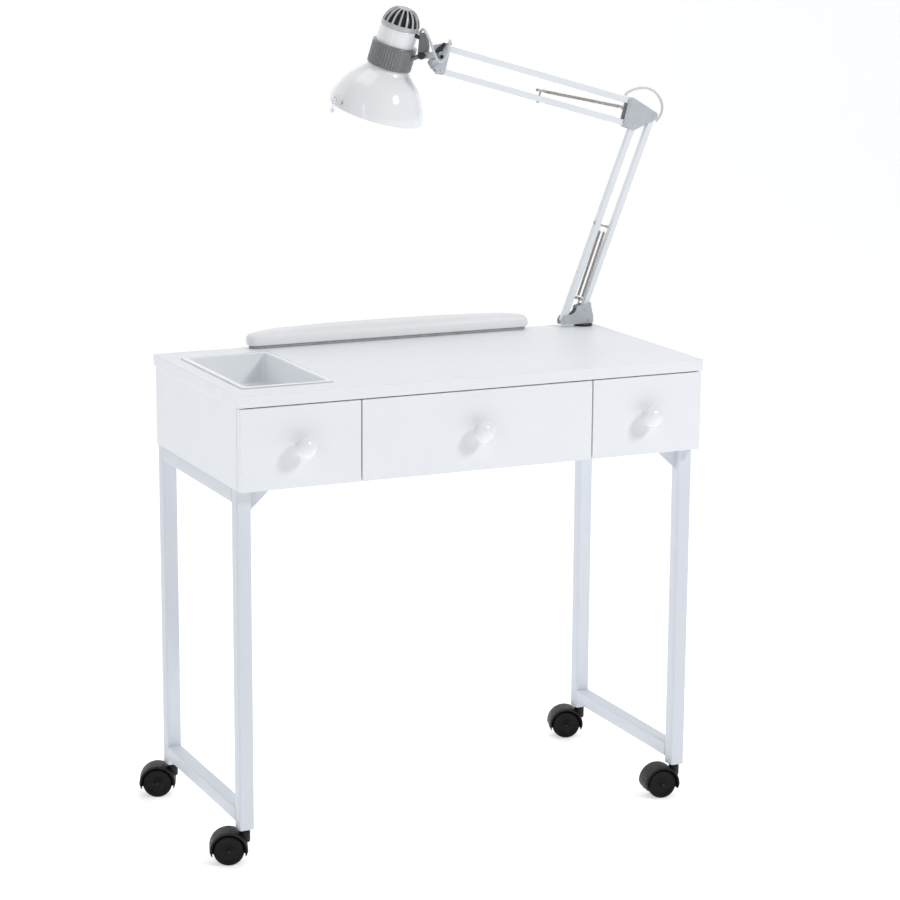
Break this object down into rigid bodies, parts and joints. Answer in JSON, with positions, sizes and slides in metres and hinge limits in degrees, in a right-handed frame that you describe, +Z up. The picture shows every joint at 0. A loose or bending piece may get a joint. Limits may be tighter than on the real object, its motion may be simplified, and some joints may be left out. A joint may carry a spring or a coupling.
{
  "type": "manicure table",
  "caption": "White manicure table on twin-wheel castors with sliding drawers, an inset tray, a bowed wrist cushion and a spring-balanced two-arm lamp at one rear corner.",
  "frame": {"origin": "on the floor under the middle of the object's box, the cords left out", "axes": "+Z up from the floor; +X along the table towards the lamp; +Y from the drawer side to the client side, where the cushion is"},
  "size_m": [1.0257, 0.5974, 1.3787],
  "materials": {
    "laminate": "white melamine-faced board, fine satin",
    "knob_plastic": "white moulded plastic",
    "tray_plastic": "white moulded plastic tray",
    "cushion_board": "grey backing board",
    "cushion_vinyl": "white padded vinyl",
    "frame_paint": "white powder coat",
    "castor_hood": "near-black moulded nylon",
    "castor_wheel": "near-black moulded wheel",
    "lamp_paint": "white gloss paint",
    "lamp_enamel": "white enamel on spun metal",
    "lamp_casting": "silver-grey die casting",
    "collar_grey": "ribbed mid-grey plastic",
    "vent_grey": "light grey pressed cap",
    "lamp_black": "black moulded plastic",
    "spring_steel": "oiled spring steel",
    "bulb_glass": "opal glass",
    "clear_plastic": "clear moulded grip",
    "cord_pvc": "light grey flexible cord"
  },
  "bodies": {
    "table": {"tabletop": "laminate", "cabinet_back": "laminate", "cabinet_bottom": "laminate", "cabinet_side_left": "laminate", "cabinet_side_right": "laminate", "divider_left": "laminate", "divider_right": "laminate", "tray": "tray_plastic", "armrest_board": "cushion_board", "armrest_cushion": "cushion_vinyl", "leg_front_left": "frame_paint", "leg_front_right": "frame_paint", "leg_rear_left": "frame_paint", "leg_rear_right": "frame_paint", "bottom_rail_left": "frame_paint", "bottom_rail_right": "frame_paint", "top_rail_left": "frame_paint", "top_rail_right": "frame_paint", "lamp_foot": "lamp_black"},
    "drawer_left": {"drawer_left_front": "laminate", "drawer_left_box": "laminate", "drawer_left_knob": "knob_plastic"},
    "drawer_middle": {"drawer_middle_front": "laminate", "drawer_middle_box": "laminate", "drawer_middle_knob": "knob_plastic"},
    "drawer_right": {"drawer_right_front": "laminate", "drawer_right_box": "laminate", "drawer_right_knob": "knob_plastic"},
    "castor_front_left": {"castor_front_left_hood": "castor_hood"},
    "castor_front_left_near": {"castor_front_left_wheel_near": "castor_wheel"},
    "castor_front_left_far": {"castor_front_left_wheel_far": "castor_wheel"},
    "castor_front_right": {"castor_front_right_hood": "castor_hood"},
    "castor_front_right_near": {"castor_front_right_wheel_near": "castor_wheel"},
    "castor_front_right_far": {"castor_front_right_wheel_far": "castor_wheel"},
    "castor_rear_left": {"castor_rear_left_hood": "castor_hood"},
    "castor_rear_left_near": {"castor_rear_left_wheel_near": "castor_wheel"},
    "castor_rear_left_far": {"castor_rear_left_wheel_far": "castor_wheel"},
    "castor_rear_right": {"castor_rear_right_hood": "castor_hood"},
    "castor_rear_right_near": {"castor_rear_right_wheel_near": "castor_wheel"},
    "castor_rear_right_far": {"castor_rear_right_wheel_far": "castor_wheel"},
    "lamp_base": {"lamp_base_bracket": "lamp_casting"},
    "lower_right": {"lower_bar_right": "lamp_paint"},
    "lower_left": {"lower_bar_left": "lamp_paint", "lower_springs": "spring_steel"},
    "elbow": {"elbow_bracket": "lamp_casting", "elbow_flex": "cord_pvc"},
    "upper_top": {"upper_bar_top": "lamp_paint"},
    "upper_low": {"upper_bar_low": "lamp_paint", "upper_springs": "spring_steel"},
    "head_mount": {"head_bracket": "lamp_casting", "head_flex": "cord_pvc"},
    "wing": {"wing_nut": "lamp_black"},
    "knuckle": {"head_knuckle": "lamp_casting"},
    "thumb": {"tilt_thumb_screw": "lamp_black"},
    "head": {"lamp_collar": "collar_grey", "lamp_housing": "lamp_enamel", "vent_cap": "vent_grey", "lamp_shade": "lamp_enamel", "bulb": "bulb_glass", "shade_handle": "clear_plastic"}
  },
  "joints": [
    {"name": "drawer_left_slide", "type": "slide", "parent": "table", "child": "drawer_left", "axis": [0, -1, 0], "range_m": [0, 0.26]},
    {"name": "drawer_middle_slide", "type": "slide", "parent": "table", "child": "drawer_middle", "axis": [0, -1, 0], "range_m": [0, 0.26]},
    {"name": "drawer_right_slide", "type": "slide", "parent": "table", "child": "drawer_right", "axis": [0, -1, 0], "range_m": [0, 0.26]},
    {"name": "castor_front_left_swivel", "type": "hinge", "parent": "table", "child": "castor_front_left", "pos_m": [-0.44253, -0.22942, 0], "axis": [0, 0, 1], "continuous": true},
    {"name": "castor_front_left_near_roll", "type": "hinge", "parent": "castor_front_left", "child": "castor_front_left_near", "pos_m": [-0.46805, -0.22063, 0.026], "axis": [0.3256, 0.9455, 0], "continuous": true},
    {"name": "castor_front_left_far_roll", "type": "hinge", "parent": "castor_front_left", "child": "castor_front_left_far", "pos_m": [-0.46805, -0.22063, 0.026], "axis": [0.3256, 0.9455, 0], "continuous": true},
    {"name": "castor_front_right_swivel", "type": "hinge", "parent": "table", "child": "castor_front_right", "pos_m": [0.37287, -0.22942, 0], "axis": [0, 0, 1], "continuous": true},
    {"name": "castor_front_right_near_roll", "type": "hinge", "parent": "castor_front_right", "child": "castor_front_right_near", "pos_m": [0.34621, -0.2252, 0.026], "axis": [0.1564, 0.9877, 0], "continuous": true},
    {"name": "castor_front_right_far_roll", "type": "hinge", "parent": "castor_front_right", "child": "castor_front_right_far", "pos_m": [0.34621, -0.2252, 0.026], "axis": [0.1564, 0.9877, 0], "continuous": true},
    {"name": "castor_rear_left_swivel", "type": "hinge", "parent": "table", "child": "castor_rear_left", "pos_m": [-0.44253, 0.13308, 0], "axis": [0, 0, 1], "continuous": true},
    {"name": "castor_rear_left_near_roll", "type": "hinge", "parent": "castor_rear_left", "child": "castor_rear_left_near", "pos_m": [-0.46773, 0.14276, 0.026], "axis": [0.3584, 0.9336, 0], "continuous": true},
    {"name": "castor_rear_left_far_roll", "type": "hinge", "parent": "castor_rear_left", "child": "castor_rear_left_far", "pos_m": [-0.46773, 0.14276, 0.026], "axis": [0.3584, 0.9336, 0], "continuous": true},
    {"name": "castor_rear_right_swivel", "type": "hinge", "parent": "table", "child": "castor_rear_right", "pos_m": [0.37287, 0.13308, 0], "axis": [0, 0, 1], "continuous": true},
    {"name": "castor_rear_right_near_roll", "type": "hinge", "parent": "castor_rear_right", "child": "castor_rear_right_near", "pos_m": [0.34735, 0.14187, 0.026], "axis": [0.3256, 0.9455, 0], "continuous": true},
    {"name": "castor_rear_right_far_roll", "type": "hinge", "parent": "castor_rear_right", "child": "castor_rear_right_far", "pos_m": [0.34735, 0.14187, 0.026], "axis": [0.3256, 0.9455, 0], "continuous": true},
    {"name": "lamp_swivel", "type": "hinge", "parent": "table", "child": "lamp_base", "pos_m": [0.36217, 0.12358, 0.795], "axis": [0, 0, 1], "range_deg": [-170, 170]},
    {"name": "lower_arm_tilt", "type": "hinge", "parent": "lamp_base", "child": "lower_right", "pos_m": [0.36117, 0.12358, 0.826], "axis": [0, 1, 0], "range_deg": [-50, 15], "deforming": ["lower_springs"]},
    {"name": "lower_bar_follow", "type": "hinge", "parent": "lamp_base", "child": "lower_left", "pos_m": [0.32017, 0.12358, 0.809], "axis": [0, 1, 0], "range_deg": [-50, 15], "deforming": ["lower_springs"]},
    {"name": "elbow_follow", "type": "hinge", "parent": "lower_right", "child": "elbow", "pos_m": [0.49739, 0.12358, 1.17538], "axis": [0, 1, 0], "range_deg": [-15, 50], "deforming": ["elbow_flex"]},
    {"name": "upper_arm_tilt", "type": "hinge", "parent": "elbow", "child": "upper_top", "pos_m": [0.45139, 0.12358, 1.20318], "axis": [0, 1, 0], "range_deg": [-45, 30], "deforming": ["upper_springs", "elbow_flex"]},
    {"name": "upper_bar_follow", "type": "hinge", "parent": "elbow", "child": "upper_low", "pos_m": [0.44139, 0.12358, 1.16338], "axis": [0, 1, 0], "range_deg": [-45, 30], "deforming": ["upper_springs"]},
    {"name": "head_bracket_follow", "type": "hinge", "parent": "upper_top", "child": "head_mount", "pos_m": [0.07865, 0.12358, 1.30726], "axis": [0, 1, 0], "range_deg": [-30, 45], "deforming": ["head_flex"]},
    {"name": "wing_nut_turn", "type": "hinge", "parent": "head_mount", "child": "wing", "pos_m": [0.06417, 0.12358, 1.306], "axis": [0, 1, 0], "continuous": true},
    {"name": "head_swivel", "type": "hinge", "parent": "head_mount", "child": "knuckle", "pos_m": [0.05617, 0.12358, 1.282], "axis": [0, 0, 1], "range_deg": [-10, 85], "deforming": ["head_flex"]},
    {"name": "thumb_screw_turn", "type": "hinge", "parent": "knuckle", "child": "thumb", "pos_m": [0.04655, 0.13636, 1.294], "axis": [0.7986, 0.6018, 0], "continuous": true},
    {"name": "head_tilt", "type": "hinge", "parent": "knuckle", "child": "head", "pos_m": [0.04655, 0.13636, 1.294], "axis": [0.7986, 0.6018, 0], "range_deg": [-25, 16], "deforming": ["head_flex"]}
  ],
  "couplings": [
    {"joint": "lower_bar_follow", "follows": "lower_arm_tilt", "ratio": 1},
    {"joint": "elbow_follow", "follows": "lower_arm_tilt", "ratio": -1},
    {"joint": "upper_bar_follow", "follows": "upper_arm_tilt", "ratio": 1},
    {"joint": "head_bracket_follow", "follows": "upper_arm_tilt", "ratio": -1}
  ]
}
